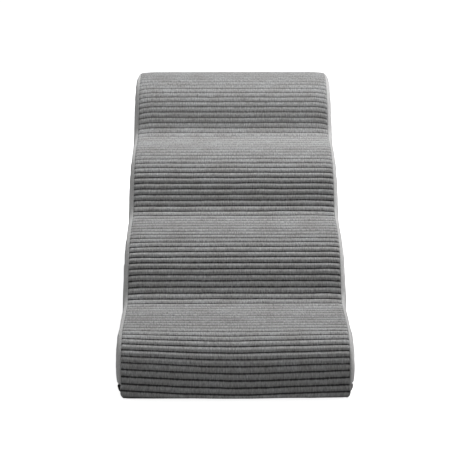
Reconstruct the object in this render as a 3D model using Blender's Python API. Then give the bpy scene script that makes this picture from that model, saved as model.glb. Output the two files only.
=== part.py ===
"""Foam pet ramp with four rolling steps and a removable zip-off cover.

Frame: X across the ramp, +Y from the low front end to the high back end, +Z up. The origin is on the
floor, at the middle of the footprint. Metres.
"""

import math

import bmesh
import bpy
import numpy as np
from mathutils import Matrix, Vector

# ---- the wave: lengths are measured along the cover's surface, angles in degrees ----
WIDTH = 0.400
STEPS = 4
FRONT_ARC = 0.154            # the front face and the first nose
FRONT_ANGLE = 85.0           # slope of the front face at its foot
FIRST_VALLEY = 0.222         # from the front face's foot to the first valley
STEP_ARC = 0.230             # from one valley to the next
VALLEY_ARC = 0.058           # over which a valley turns up into a riser
NOSE_ARC = 0.151             # over which a riser turns over into the next tread
RISER_ANGLE = 55.0
FIRST_TREAD_ANGLE = -2.4
TREAD_ANGLE = 4.8
TOP_ARC = 0.901              # from the front face's foot to the top back corner
BACK_CORNER_R = 0.014
FRONT_FOOT_R = 0.012

# ---- sewn cover and liner ----
GAP = 0.0003                 # left between touching pieces
RIB_PITCH = 0.0115
RIB_DEPTH = 0.0022
RIB_SHOULDER = 0.22          # from a groove's middle to its rib's flat top, as a share of the pitch
TOP_PANEL_T = 0.0036         # over the ribs' crests
HEM_T = 0.0012
HEM_LIFT = 0.001             # the hem's height above the floor
HEM_LENGTH = 0.010           # the hem's run under the front edge
SIDE_PANEL_T = 0.0075        # fabric on its wadding
SIDE_ROUND = 0.0045
LINER_T = 0.0007

# ---- foam ----
COMFORT_T = 0.020
FOAM_EDGE_R = 0.0075         # rounding of the foam's bottom edges
LAYER_SHIFT = GAP * 0.7      # in y and in z, which parts the two foams by about GAP on a slope

# ---- non-slip base ----
STUD_H = 0.0008
STUD_COLUMNS = 7
STUD_ROWS = 13
STUD_SHARE = 0.42            # a stud's side over its cell's side
STUD_SLOPE = 0.0006
BASE_T = 0.0012
BASE_ROUND = 0.009
BASE_RIM_TOP = 0.0135
BASE_INSET = 0.0056          # from the side panels' faces in to the base's rim

# ---- zip, with insets from the side panels' faces ----
ZIP_Z = 0.0200               # height of the centre line
ZIP_START = 0.009            # the zip's ends, back from the front face
ZIP_CORNER_R = 0.010         # bend at the back corners, at the side panels' faces
CORNER_SEGMENTS = 4
TAPE_INSET = 0.0060
TAPE_T = 0.0006
TAPE_TOP = 0.0268
COIL_SPLIT = 0.0008          # half the gap between the coils, where the slider's post runs
COIL_H = 0.0026
COIL_T = 0.0016

# ---- slider, stops and pull ----
SLIDER_LENGTH = 0.0085
SLIDER_H = 0.0072
SLIDER_PLATE_T = 0.0007
SLIDER_SHAPE = ((0.0, 0.86), (0.12, 1.0), (0.45, 1.0), (0.90, 0.72), (1.0, 0.5))  # along, half height
POST_START = 0.08            # as a share of the slider's length
POST_LENGTH = 0.0030
POST_H = 0.0010
STOP_LENGTH = 0.0030
STOP_T = 0.0008
STOP_EDGE = STOP_T * 0.4     # chamfer
BAIL_T = 0.0006
BAIL_H = 0.0014
BAIL_HALF_LENGTH = 0.0020
BAIL_HALF_OPENING = 0.0014
BAIL_EDGE = 0.0003           # chamfer
PIN_OFFSET = 0.0025          # the pull's pin, back from the slider's front end
PIN_CLEARANCE = 0.00105      # from the outer plate to the pin's axis
PULL_LENGTH = 0.022
PULL_H = 0.0056
PULL_T = 0.0007
PULL_NECK = 0.8              # the bar end's width over the pull's
PULL_BAR = 0.0009
BAIL_CLEARANCE = PULL_BAR * 0.78  # from the pin's axis to the inside of the bail
PULL_WINDOW = 0.0030
PULL_WINDOW_H = 0.0024
PULL_CORNER_R = 0.0018

NEAR = 1e-6
FIRST_RISE = 0.003           # least height of a cut-off line's second point above its floor
CORE_BACK_STEP = 0.005       # least distance of the core's last wave point from its back
SAMPLES_PER_RIB = 20
HALF_WIDTH = WIDTH / 2
LINER_INSET = TOP_PANEL_T + GAP
FOAM_INSET = LINER_INSET + LINER_T + GAP
CORE_INSET = FOAM_INSET + COMFORT_T + GAP
LINER_SIDE_INSET = SIDE_PANEL_T + 2 * GAP
FOAM_SIDE_INSET = LINER_SIDE_INSET + LINER_T + GAP
FOAM_FLOOR = HEM_LIFT + HEM_T + GAP
PANEL_FLOOR = TAPE_TOP + GAP

# ---- materials: colour, roughness, metallic ----
FINISHES = {
    "ribbed_fabric": ((0.19, 0.19, 0.185), 0.95, 0.0),
    "plain_fabric": ((0.30, 0.30, 0.295), 0.95, 0.0),
    "core_foam": ((0.78, 0.76, 0.66), 0.90, 0.0),
    "comfort_foam": ((0.86, 0.85, 0.80), 0.90, 0.0),
    "liner_cloth": ((0.82, 0.82, 0.80), 0.85, 0.0),
    "base_fabric": ((0.025, 0.025, 0.027), 0.75, 0.0),
    "zip_tape": ((0.022, 0.022, 0.024), 0.85, 0.0),
    "zip_coil": ((0.018, 0.018, 0.020), 0.45, 0.0),
    "zip_metal": ((0.05, 0.05, 0.055), 0.35, 0.9),
}


def clear_scene():
    for old in list(bpy.data.objects):
        bpy.data.objects.remove(old, do_unlink=True)


def material(slot):
    """The slot's Principled material, made the first time it is asked for."""
    found = bpy.data.materials.get(slot)
    if found:
        return found
    colour, roughness, metallic = FINISHES[slot]
    made = bpy.data.materials.new(slot)
    made.use_nodes = True
    shader = made.node_tree.nodes["Principled BSDF"]
    shader.inputs["Base Color"].default_value = (*colour, 1.0)
    shader.inputs["Roughness"].default_value = roughness
    shader.inputs["Metallic"].default_value = metallic
    return made


def finish_mesh(name, bm, slot, origin=(0.0, 0.0, 0.0), smooth_angle=40.0):
    """Turns a bmesh into a named object with its material, its origin and outward normals."""
    bmesh.ops.translate(bm, vec=-Vector(origin), verts=bm.verts)
    bmesh.ops.recalc_face_normals(bm, faces=bm.faces)
    mesh = bpy.data.meshes.new(name)
    bm.to_mesh(mesh)
    bm.free()
    mesh.shade_smooth()
    mesh.set_sharp_from_angle(angle=math.radians(smooth_angle))
    mesh.materials.append(material(slot))
    made = bpy.data.objects.new(name, mesh)
    made.location = origin
    bpy.context.scene.collection.objects.link(made)
    return made


def prism(bm, outline, x_low, x_high):
    """Extrudes a (y, z) outline along X, and returns the two rims' vertices."""
    low = [bm.verts.new((x_low, y, z)) for y, z in outline]
    high = [bm.verts.new((x_high, y, z)) for y, z in outline]
    bm.faces.new(low)
    bm.faces.new(high)
    for i in range(len(outline)):
        j = (i + 1) % len(outline)
        bm.faces.new((low[i], low[j], high[j], high[i]))
    return low, high


def box(bm, low, high):
    """An axis-aligned box between two corners."""
    size = Vector(high) - Vector(low)
    place = Matrix.Translation((Vector(low) + Vector(high)) / 2) @ Matrix.Diagonal((*size, 1.0))
    bmesh.ops.create_cube(bm, size=1.0, matrix=place)


def arc(centre, first_radius, last_radius, first, last, count):
    """Points whose direction from the centre turns from first to last, in radians."""
    angles = np.linspace(first, last, count)
    radii = np.linspace(first_radius, last_radius, count)
    return [
        (float(centre[0] + r * math.cos(a)), float(centre[1] + r * math.sin(a)))
        for a, r in zip(angles, radii)
    ]


# ---- the wave as a surface line ----
def turn(length, start, end):
    """0 before start, 1 after end, and half a cosine between them."""
    t = np.clip((length - start) / (end - start), 0.0, 1.0)
    return (1.0 - np.cos(np.pi * t)) / 2.0


def slope(length):
    """The wave's slope, in radians, at a length from the front face's foot."""
    angle = FRONT_ANGLE + (FIRST_TREAD_ANGLE - FRONT_ANGLE) * turn(length, 0.0, FRONT_ARC)
    for step in range(STEPS - 1):
        valley = FIRST_VALLEY + step * STEP_ARC
        riser = valley + VALLEY_ARC
        angle = angle + (RISER_ANGLE - angle) * turn(length, valley, riser)
        angle = angle + (TREAD_ANGLE - angle) * turn(length, riser, riser + NOSE_ARC)
    return np.radians(angle)


class Wave:
    """The cover's outer line over the steps, with y already placed in the part's frame."""

    def __init__(self):
        count = round(TOP_ARC / RIB_PITCH * SAMPLES_PER_RIB) + 1
        self.length = np.linspace(0.0, TOP_ARC, count)
        middle = (self.length[:-1] + self.length[1:]) / 2
        step = self.length[1] - self.length[0]
        foot = math.radians(FRONT_ANGLE) + math.pi / 2
        self.foot_angle = foot
        self.y = np.concatenate([[0.0], np.cumsum(np.cos(slope(middle)) * step)])
        self.z = np.concatenate([[0.0], np.cumsum(np.sin(slope(middle)) * step)])
        self.y += FRONT_FOOT_R * math.cos(foot)
        self.z += HEM_LIFT + FRONT_FOOT_R * (1.0 + math.sin(foot))
        self.top_angle = float(slope(TOP_ARC)) + math.pi / 2
        corner_y = self.y[-1] - BACK_CORNER_R * math.cos(self.top_angle)
        corner_z = self.z[-1] - BACK_CORNER_R * math.sin(self.top_angle)
        self.total = corner_y + BACK_CORNER_R + FRONT_FOOT_R
        shift = FRONT_FOOT_R - self.total / 2
        self.y += shift
        self.foot = (shift, HEM_LIFT + FRONT_FOOT_R)
        self.corner = (corner_y + shift, corner_z)

    def at(self, length, inset=0.0):
        """The point at a length along the wave, moved in along its normal."""
        angle = float(slope(length))
        y = float(np.interp(length, self.length, self.y))
        z = float(np.interp(length, self.length, self.z))
        return y + inset * math.sin(angle), z - inset * math.cos(angle)

    def line(self, inset, spacing=RIB_PITCH):
        """Points along the whole wave, moved in along its normal."""
        count = round(TOP_ARC / spacing) + 1
        return [self.at(s, inset) for s in np.linspace(0.0, TOP_ARC, count)]

    def foot_arc(self, bottom_inset, face_inset):
        """From under the front edge round to the front face, without its last point."""
        return arc(
            self.foot,
            FRONT_FOOT_R - bottom_inset,
            FRONT_FOOT_R - face_inset,
            1.5 * math.pi,
            self.foot_angle,
            6,
        )[:-1]

    def corner_arc(self, inset, back_inset=0.0):
        """The top back corner down to an upright plane that is back_inset in from the back."""
        radius = BACK_CORNER_R - inset
        reach = BACK_CORNER_R - back_inset
        if radius <= reach:
            return arc(self.corner, radius, radius, self.top_angle, 0.0, 7)[1:]
        end = math.acos(reach / radius)
        return arc(self.corner, radius, radius, self.top_angle, end, 5)[1:]


WAVE = Wave()
LENGTH = WAVE.total
FRONT_Y = -LENGTH / 2
BACK_Y = LENGTH / 2


def above(line, floor):
    """A rising line cut off at a floor, starting with the point on the floor."""
    kept = [p for p in line if p[1] > floor + FIRST_RISE]
    first = line.index(kept[0])
    (y0, z0), (y1, z1) = line[max(first - 1, 0)], line[max(first, 1)]
    share = (floor - z0) / (z1 - z0)
    return [(y0 + share * (y1 - y0), floor)] + kept


# ---- foam and liner ----
def core_top():
    """The line between the firm core and the soft layer."""
    back = BACK_Y - FOAM_SIDE_INSET
    line = [p for p in WAVE.line(CORE_INSET) if p[0] < back - CORE_BACK_STEP]
    return above(line, FOAM_FLOOR) + [(back, line[-1][1])]


def round_bottom_edges(bm):
    """Rounds the foam's bottom edges along its two sides and its back."""
    chosen = []
    for edge in bm.edges:
        a, b = (v.co for v in edge.verts)
        low = max(a.z, b.z) < FOAM_FLOOR + NEAR
        side = abs(a.x - b.x) < NEAR
        back = min(a.y, b.y) > BACK_Y - FOAM_SIDE_INSET - NEAR
        if low and (side or back):
            chosen.append(edge)
    bmesh.ops.bevel(bm, geom=chosen, offset=FOAM_EDGE_R, segments=2, profile=0.5, affect="EDGES")


def make_foam_core():
    """The firm wedge that carries the load."""
    half = HALF_WIDTH - FOAM_SIDE_INSET
    bm = bmesh.new()
    prism(bm, core_top() + [(BACK_Y - FOAM_SIDE_INSET, FOAM_FLOOR)], -half, half)
    round_bottom_edges(bm)
    return finish_mesh("foam_core", bm, "core_foam")


def make_comfort_layer():
    """The soft layer over the core's waves and down its front face."""
    half = HALF_WIDTH - FOAM_SIDE_INSET
    outer = WAVE.foot_arc(HEM_T + GAP, FOAM_INSET) + WAVE.line(FOAM_INSET)
    outer += WAVE.corner_arc(FOAM_INSET, FOAM_SIDE_INSET)
    inner = [(y - LAYER_SHIFT, z + LAYER_SHIFT) for y, z in core_top()]
    inner[0] = (inner[0][0], FOAM_FLOOR)
    inner[-1] = (outer[-1][0], inner[-1][1])
    bm = bmesh.new()
    prism(bm, outer + inner[::-1], -half, half)
    round_bottom_edges(bm)
    return finish_mesh("foam_comfort_layer", bm, "comfort_foam")


def make_liner():
    """A thin sleeve over the foam, open along the bottom."""
    floor = BASE_RIM_TOP + GAP
    bm = bmesh.new()
    rims = []
    for extra in (0.0, LINER_T):
        back_inset = LINER_SIDE_INSET + extra
        half = HALF_WIDTH - back_inset
        outline = above(WAVE.line(LINER_INSET + extra), floor)
        outline += WAVE.corner_arc(LINER_INSET + extra, back_inset) + [(BACK_Y - back_inset, floor)]
        low, high = prism(bm, outline, -half, half)
        rims.append((low[0], high[0], high[-1], low[-1]))
    bottoms = [f for f in bm.faces if max(v.co.z for v in f.verts) < floor + NEAR]
    bmesh.ops.delete(bm, geom=bottoms, context="FACES_ONLY")
    outer_rim, inner_rim = rims
    for i in range(4):
        j = (i + 1) % 4
        bm.faces.new((outer_rim[i], outer_rim[j], inner_rim[j], inner_rim[i]))
    return finish_mesh("inner_liner", bm, "liner_cloth")


# ---- sewn cover ----
def ribbed_wave():
    """The top panel's outer line: flat-topped ribs with a narrow groove between them."""
    points = []
    for rib in range(int(TOP_ARC / RIB_PITCH)):
        for share, depth in ((0.0, RIB_DEPTH), (RIB_SHOULDER, 0.0), (1.0 - RIB_SHOULDER, 0.0)):
            points.append(WAVE.at((rib + share) * RIB_PITCH, depth))
    return points


def make_top_panel():
    """The ribbed panel, from its hem under the front edge to the top of the upright back."""
    half = HALF_WIDTH - SIDE_PANEL_T - GAP
    hem_y = WAVE.foot[0] + HEM_LENGTH
    outer = [(hem_y, HEM_LIFT)] + WAVE.foot_arc(0.0, 0.0) + ribbed_wave() + WAVE.corner_arc(0.0)
    inner = [(hem_y, HEM_LIFT + HEM_T)] + WAVE.foot_arc(HEM_T, TOP_PANEL_T)
    inner += WAVE.line(TOP_PANEL_T) + WAVE.corner_arc(TOP_PANEL_T)
    bm = bmesh.new()
    prism(bm, outer + inner[::-1], -half, half)
    return finish_mesh("top_panel", bm, "ribbed_fabric", smooth_angle=60.0)


def make_side_panel(name, side):
    """A padded side panel with the wave's outline and a rounded outer edge."""
    outline = above(WAVE.line(0.0), PANEL_FLOOR) + WAVE.corner_arc(0.0) + [(BACK_Y, PANEL_FLOOR)]
    bm = bmesh.new()
    prism(bm, outline, HALF_WIDTH - SIDE_PANEL_T, HALF_WIDTH)
    rim = []
    for edge in bm.edges:
        outside = all(v.co.x > HALF_WIDTH - NEAR for v in edge.verts)
        if outside and max(v.co.z for v in edge.verts) > PANEL_FLOOR + NEAR:
            rim.append(edge)
    bmesh.ops.bevel(bm, geom=rim, offset=SIDE_ROUND, segments=2, profile=0.5, affect="EDGES")
    bmesh.ops.scale(bm, vec=(side, 1.0, 1.0), verts=bm.verts)
    return finish_mesh(name, bm, "plain_fabric")


def make_back_panel():
    """The upright panel between the side panels, from the zip to the top panel's edge."""
    half = HALF_WIDTH - SIDE_PANEL_T - GAP
    low = (-half, BACK_Y - SIDE_PANEL_T, PANEL_FLOOR)
    high = (half, BACK_Y, WAVE.corner[1] - GAP)
    bm = bmesh.new()
    box(bm, low, high)
    return finish_mesh("back_panel", bm, "plain_fabric")


# ---- non-slip base ----
def add_cell(bm, corners, studded):
    """One cell of the base's grid, plain or with a tapered stud raised from its middle."""
    if not studded:
        bm.faces.new(corners)
        return
    middle = sum((v.co for v in corners), Vector()) / 4
    side = (corners[1].co - corners[0].co).length
    tip_share = STUD_SHARE - 2 * STUD_SLOPE / side
    foot = [bm.verts.new(middle + (v.co - middle) * STUD_SHARE) for v in corners]
    tip = [bm.verts.new(middle + (v.co - middle) * tip_share) for v in corners]
    for vert in tip:
        vert.co.z = 0.0
    for i in range(4):
        j = (i + 1) % 4
        bm.faces.new((corners[i], corners[j], foot[j], foot[i]))
        bm.faces.new((foot[i], foot[j], tip[j], tip[i]))
    bm.faces.new(tip)


def base_skin(bm, inset, studded):
    """One face of the base: a flat grid turned up into a rim on three sides.

    Returns the skin's border, which runs in the same order for both faces of the base.
    """
    half = HALF_WIDTH - BASE_INSET - BASE_ROUND
    xs = np.linspace(-half, half, STUD_COLUMNS + 1)
    front = WAVE.foot[0] + HEM_LENGTH + GAP
    ys = np.linspace(front, BACK_Y - BASE_INSET - BASE_ROUND, STUD_ROWS + 1)
    grid = [[bm.verts.new((x, y, STUD_H + inset)) for x in xs] for y in ys]
    for a, b in zip(grid[:-1], grid[1:]):
        for i in range(STUD_COLUMNS):
            add_cell(bm, (a[i], a[i + 1], b[i + 1], b[i]), studded)
    edge = [(row[0], (-1, 0)) for row in grid[:-1]] + [(grid[-1][0], (-1, 1))]
    edge += [(v, (0, 1)) for v in grid[-1][1:-1]]
    edge += [(grid[-1][-1], (1, 1))] + [(row[-1], (1, 0)) for row in grid[-2::-1]]
    radius = BASE_ROUND - inset
    section = arc((0.0, STUD_H + BASE_ROUND), radius, radius, 1.5 * math.pi, 2 * math.pi, 4)[1:]
    section.append((radius, BASE_RIM_TOP))
    rings = [[v for v, _ in edge]]
    for out, z in section:
        ring = [bm.verts.new((v.co.x + dx * out, v.co.y + dy * out, z)) for v, (dx, dy) in edge]
        for i in range(len(ring) - 1):
            bm.faces.new((rings[-1][i], rings[-1][i + 1], ring[i + 1], ring[i]))
        rings.append(ring)
    border = grid[0] + [ring[-1] for ring in rings[1:]]
    border += rings[-1][-2::-1] + [ring[0] for ring in rings[-2:0:-1]]
    return border


def make_bottom_panel():
    """The non-slip base, with one moulded stud on each cell of its underside."""
    bm = bmesh.new()
    outer = base_skin(bm, 0.0, True)
    inner = base_skin(bm, BASE_T, False)
    for i in range(len(outer)):
        j = (i + 1) % len(outer)
        bm.faces.new((outer[i], outer[j], inner[j], inner[i]))
    return finish_mesh("bottom_panel", bm, "base_fabric")


# ---- zip ----
def plan_run(inset):
    """A U in plan, from the left side's front end round the back to the right side's."""
    radius = ZIP_CORNER_R - inset
    half = HALF_WIDTH - inset
    front = FRONT_Y + ZIP_START
    x = HALF_WIDTH - ZIP_CORNER_R
    y = BACK_Y - ZIP_CORNER_R
    left = arc((-x, y), radius, radius, math.pi, math.pi / 2, CORNER_SEGMENTS + 1)
    right = arc((x, y), radius, radius, math.pi / 2, 0.0, CORNER_SEGMENTS + 1)
    return [(-half, front)] + left + right + [(half, front)]


def make_band(name, slot, inset, thickness, low, high):
    """An upright strip between two heights that follows the U round the base."""
    outer = plan_run(inset)
    inner = plan_run(inset + thickness)
    bm = bmesh.new()
    rings = []
    for run, z in ((outer, low), (outer, high), (inner, high), (inner, low)):
        rings.append([bm.verts.new((x, y, z)) for x, y in run])
    for k in range(4):
        a, b = rings[k], rings[(k + 1) % 4]
        for i in range(len(a) - 1):
            bm.faces.new((a[i], a[i + 1], b[i + 1], b[i]))
    for end in (0, -1):
        bm.faces.new([ring[end] for ring in rings])
    return finish_mesh(name, bm, slot)


def make_zip_bands():
    """The two tapes, and on them the two coils."""
    upper, lower = ZIP_Z + COIL_SPLIT, ZIP_Z - COIL_SPLIT
    make_band("zip_tape_upper", "zip_tape", TAPE_INSET, TAPE_T, upper, TAPE_TOP)
    make_band("zip_tape_lower", "zip_tape", TAPE_INSET, TAPE_T, BASE_RIM_TOP + GAP, lower)
    coil_inset = TAPE_INSET - GAP - COIL_T
    make_band("zip_coil_upper", "zip_coil", coil_inset, COIL_T, upper, upper + COIL_H)
    make_band("zip_coil_lower", "zip_coil", coil_inset, COIL_T, lower - COIL_H, lower)


# ---- slider, stops and pull, made on the +X side and mirrored to the left where they belong ----
TAPE_X = HALF_WIDTH - TAPE_INSET
COIL_X = TAPE_X + GAP + COIL_T
OUTER_PLATE_X = COIL_X + GAP
INNER_PLATE_X = TAPE_X - TAPE_T - GAP - SLIDER_PLATE_T
SLIDER_Y = FRONT_Y + ZIP_START + STOP_LENGTH + 2 * GAP
PIN_X = OUTER_PLATE_X + SLIDER_PLATE_T + PIN_CLEARANCE
PIN_Y = SLIDER_Y + PIN_OFFSET


def make_stop(name, side):
    """The block clamped over the coils at one end of the zip."""
    start = FRONT_Y + ZIP_START
    bm = bmesh.new()
    box(
        bm,
        (OUTER_PLATE_X, start, ZIP_Z - SLIDER_H / 2),
        (OUTER_PLATE_X + STOP_T, start + STOP_LENGTH, ZIP_Z + SLIDER_H / 2),
    )
    outer = [e for e in bm.edges if all(v.co.x > OUTER_PLATE_X + STOP_T / 2 for v in e.verts)]
    bmesh.ops.bevel(bm, geom=outer, offset=STOP_EDGE, segments=1, profile=0.5, affect="EDGES")
    bmesh.ops.scale(bm, vec=(side, 1.0, 1.0), verts=bm.verts)
    return finish_mesh(name, bm, "zip_metal")


def slider_plate(x_low):
    """One of the slider's plates, wide at its mouth and tapered to its tail."""
    half = SLIDER_H / 2
    lower = [(SLIDER_Y + along * SLIDER_LENGTH, ZIP_Z - out * half) for along, out in SLIDER_SHAPE]
    upper = [(SLIDER_Y + along * SLIDER_LENGTH, ZIP_Z + out * half) for along, out in SLIDER_SHAPE]
    bm = bmesh.new()
    prism(bm, lower + upper[::-1], x_low, x_low + SLIDER_PLATE_T)
    return bm


def slider_post():
    """The post between the plates, which parts the two coils."""
    bm = bmesh.new()
    sink = SLIDER_PLATE_T / 2
    start = SLIDER_Y + SLIDER_LENGTH * POST_START
    box(
        bm,
        (INNER_PLATE_X + sink, start, ZIP_Z - POST_H / 2),
        (OUTER_PLATE_X + sink, start + POST_LENGTH, ZIP_Z + POST_H / 2),
    )
    return bm


def slider_bail():
    """The arch on the outer plate that holds the pull's bar."""
    feet = OUTER_PLATE_X + SLIDER_PLATE_T / 2
    inner = PIN_X + BAIL_CLEARANCE
    outer = inner + BAIL_T
    long, short = BAIL_HALF_LENGTH, BAIL_HALF_OPENING
    half_arch = [(long, feet), (long, outer - BAIL_EDGE), (short, outer)]
    half_opening = [(short, feet), (short, inner)]
    arch = [(-y, x) for y, x in half_arch] + half_arch[::-1]
    opening = half_opening + [(-y, x) for y, x in half_opening[::-1]]
    bm = bmesh.new()
    low, high = prism(bm, arch + opening, -BAIL_H / 2, BAIL_H / 2)
    for vert in low + high:
        vert.co = (vert.co.z, PIN_Y + vert.co.y, ZIP_Z + vert.co.x)
    return bm


def make_slider():
    """The slider: two plates joined by the post, with the bail on the outer one."""
    origin = (-PIN_X, PIN_Y, ZIP_Z)
    pieces = {
        "zip_slider_body": slider_plate(OUTER_PLATE_X),
        "slider_inner_plate_shape": slider_plate(INNER_PLATE_X),
        "slider_post_shape": slider_post(),
        "slider_bail_shape": slider_bail(),
    }
    made = []
    for name, bm in pieces.items():
        bmesh.ops.scale(bm, vec=(-1.0, 1.0, 1.0), verts=bm.verts)
        made.append(finish_mesh(name, bm, "zip_metal", origin))
    body = made[0]
    for shape in made[:0:-1]:
        shape.hide_render = True
        shape.display_type = "WIRE"
        join = body.modifiers.new(shape.name, "BOOLEAN")
        join.operation = "UNION"
        join.solver = "EXACT"
        join.object = shape
    return body


def make_pull(slider):
    """The pull: a plate whose window takes the bail, swinging on the bar at the window's end."""
    half = PULL_H / 2
    r = PULL_CORNER_R
    front, back = PIN_Y - PULL_BAR / 2, PIN_Y + PULL_LENGTH
    outline = [(front, ZIP_Z - half * PULL_NECK), (front, ZIP_Z + half * PULL_NECK)]
    outline += arc((back - r, ZIP_Z + half - r), r, r, math.pi / 2, 0.0, 4)
    outline += arc((back - r, ZIP_Z + r - half), r, r, 0.0, -math.pi / 2, 4)
    bm = bmesh.new()
    prism(bm, outline, -PIN_X - PULL_T / 2, -PIN_X + PULL_T / 2)
    window_y = PIN_Y + PULL_BAR / 2
    cut = bmesh.new()
    box(
        cut,
        (-PIN_X - PULL_T, window_y, ZIP_Z - PULL_WINDOW_H / 2),
        (-PIN_X + PULL_T, window_y + PULL_WINDOW, ZIP_Z + PULL_WINDOW_H / 2),
    )
    origin = (-PIN_X, PIN_Y, ZIP_Z)
    pull = finish_mesh("zip_pull_tab", bm, "zip_metal", origin)
    cutter = finish_mesh("pull_window_cutter", cut, "zip_metal", origin)
    cutter.hide_render = True
    cutter.display_type = "WIRE"
    opening = pull.modifiers.new("Window", "BOOLEAN")
    opening.operation = "DIFFERENCE"
    opening.solver = "EXACT"
    opening.object = cutter
    for child in (pull, cutter):
        child.parent = slider
        child.location = (0.0, 0.0, 0.0)
    return pull


def main():
    clear_scene()
    make_foam_core()
    make_comfort_layer()
    make_liner()
    make_top_panel()
    make_side_panel("left_side_panel", -1.0)
    make_side_panel("right_side_panel", 1.0)
    make_back_panel()
    make_bottom_panel()
    make_zip_bands()
    make_stop("zip_stop_front", -1.0)
    make_stop("zip_stop_end", 1.0)
    make_pull(make_slider())


main()
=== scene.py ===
from math import ceil, cos, pi, radians, sin, sqrt

import bmesh
import bpy
import numpy as np
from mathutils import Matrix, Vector


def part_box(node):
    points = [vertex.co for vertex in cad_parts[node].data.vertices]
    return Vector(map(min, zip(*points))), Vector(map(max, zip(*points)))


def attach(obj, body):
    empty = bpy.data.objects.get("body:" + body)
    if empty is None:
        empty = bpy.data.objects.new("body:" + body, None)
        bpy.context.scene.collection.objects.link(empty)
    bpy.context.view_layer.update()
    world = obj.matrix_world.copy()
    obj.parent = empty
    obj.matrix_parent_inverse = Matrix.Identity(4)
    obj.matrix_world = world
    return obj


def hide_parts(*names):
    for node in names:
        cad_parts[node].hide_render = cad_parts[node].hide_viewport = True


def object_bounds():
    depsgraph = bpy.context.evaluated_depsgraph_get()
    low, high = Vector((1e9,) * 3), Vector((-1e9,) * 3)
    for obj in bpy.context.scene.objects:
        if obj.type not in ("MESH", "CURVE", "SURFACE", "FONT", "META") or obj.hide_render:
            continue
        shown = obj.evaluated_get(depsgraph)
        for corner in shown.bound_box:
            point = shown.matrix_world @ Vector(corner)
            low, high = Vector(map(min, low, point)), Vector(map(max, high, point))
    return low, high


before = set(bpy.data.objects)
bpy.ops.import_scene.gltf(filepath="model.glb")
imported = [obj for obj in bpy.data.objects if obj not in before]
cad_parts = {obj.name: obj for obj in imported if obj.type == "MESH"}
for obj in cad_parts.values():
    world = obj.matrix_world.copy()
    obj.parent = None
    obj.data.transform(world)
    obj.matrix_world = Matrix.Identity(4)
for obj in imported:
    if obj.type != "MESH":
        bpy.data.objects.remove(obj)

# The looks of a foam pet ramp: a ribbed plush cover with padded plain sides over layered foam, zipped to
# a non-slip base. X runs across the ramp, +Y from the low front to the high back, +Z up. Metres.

CAD_LOW, CAD_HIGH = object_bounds()
BODY = "ramp_body"
X_AXIS = np.array([1.0, 0.0, 0.0])
Y_AXIS = np.array([0.0, 1.0, 0.0])

# ---- the wave: lengths along the cover's surface, angles in degrees ----
STEPS = 4
FRONT_ARC = 0.154
FRONT_ANGLE = 85.0
FIRST_VALLEY = 0.222
STEP_ARC = 0.230
VALLEY_ARC = 0.058
NOSE_ARC = 0.151
RISER_ANGLE = 55.0
FIRST_TREAD_ANGLE = -2.4
TREAD_ANGLE = 4.8
TOP_ARC = 0.9036  # longer than the CAD's, to reach the same back
BACK_CORNER_R = 0.014
ROLL_OFF = 10.5  # the padding lets the top's last run sink to the back edge
ROLL_OFF_RUN = 0.038
HEM_LIFT = 0.001
HEM_T = 0.0012
FACE_START = 0.01305  # the front face's start above the hem
FRONT_FOOT_R = 0.006  # the foot is tighter than the CAD's, below a short straight run
HEM_LENGTH = 0.0164

# ---- the cover's layers, as in the CAD ----
GAP = 0.0003
TOP_PANEL_T = 0.0036
SIDE_PANEL_T = 0.0075
LINER_T = 0.0007
COMFORT_T = 0.020
FOAM_FLOOR = HEM_LIFT + HEM_T + GAP
HALF_WIDTH = CAD_HIGH.x
FRONT_Y = CAD_LOW.y
BACK_Y = CAD_HIGH.y
PANEL_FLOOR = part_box("left_side_panel")[0].z
SEAM_X = HALF_WIDTH - SIDE_PANEL_T - GAP / 2

# ---- the ribs ----
RIB_PITCH = 0.0115
RIB_START = -0.001  # the groove at the front face's foot
RIB_DEPTH = 0.0027
RIB_ROUNDNESS = 0.45  # 1 is a half round rib, and 0 a plain wave
TOP_GROOVE_SHADE_SHARE = 0.62  # the painted groove shade is weaker on the upper rolls, whose grooves the pile closes up
TOP_DEPTH_SHARE = 0.36
UPPER_START = 0.42  # between these lengths the ribs change to the upper rolls' shape
UPPER_END = 0.74
TREAD_DEPTH_SHARE = 0.66  # the ribs are lower where the cover lies flat
DEPTH_LAG = 0.014  # they stay deep into each valley, and flatten early on each nose
RIB_SAMPLES = 8
RIB_SEAM_SHARE = 0.5  # how deep the ribs are at a seam, and round the back corner
RIB_CORNER_SHARE = 0.3
SHOULDER_R = 0.013  # rounding from the top over to the sides
SEAM_DIP = 0.0002
SEAM_DIP_WIDTH = 0.0024
CORNER_DROP = 0.0014  # how far the top's rear corners sink
CORNER_WIDTH = 0.030


def ease(value, start, end):
    """0 before start, 1 after end."""
    t = np.clip((value - start) / (end - start), 0.0, 1.0)
    return t * t * (3.0 - 2.0 * t)


def fade(value, start, end, to=0.0):
    """1 before start, and the last number after end."""
    return 1.0 - (1.0 - to) * ease(value, start, end)


def rounded(share):
    """How far a quarter round has dropped at a share of its width."""
    return 1.0 - np.sqrt(1.0 - np.clip(share, 0.0, 1.0) ** 2)


def noise(seed, u, v):
    """Seeded value noise from -1 to 1 with one lattice cell per unit."""
    table = np.random.default_rng(seed).uniform(-1.0, 1.0, (256, 256))
    i, j = np.floor(u).astype(int), np.floor(v).astype(int)
    fu, fv = ease(u, i, i + 1), ease(v, j, j + 1)

    def row(k):
        return table[i % 256, k % 256] * (1 - fu) + table[(i + 1) % 256, k % 256] * fu

    return row(j) * (1 - fv) + row(j + 1) * fv


# ---- the cover's outer line ----
def turn(length, start, end):
    """As ease, by half a cosine."""
    return (1.0 - np.cos(np.pi * np.clip((length - start) / (end - start), 0.0, 1.0))) / 2.0


def sums(steps):
    """The running sums of steps, from 0."""
    return np.concatenate([[0.0], np.cumsum(steps)])


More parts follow.
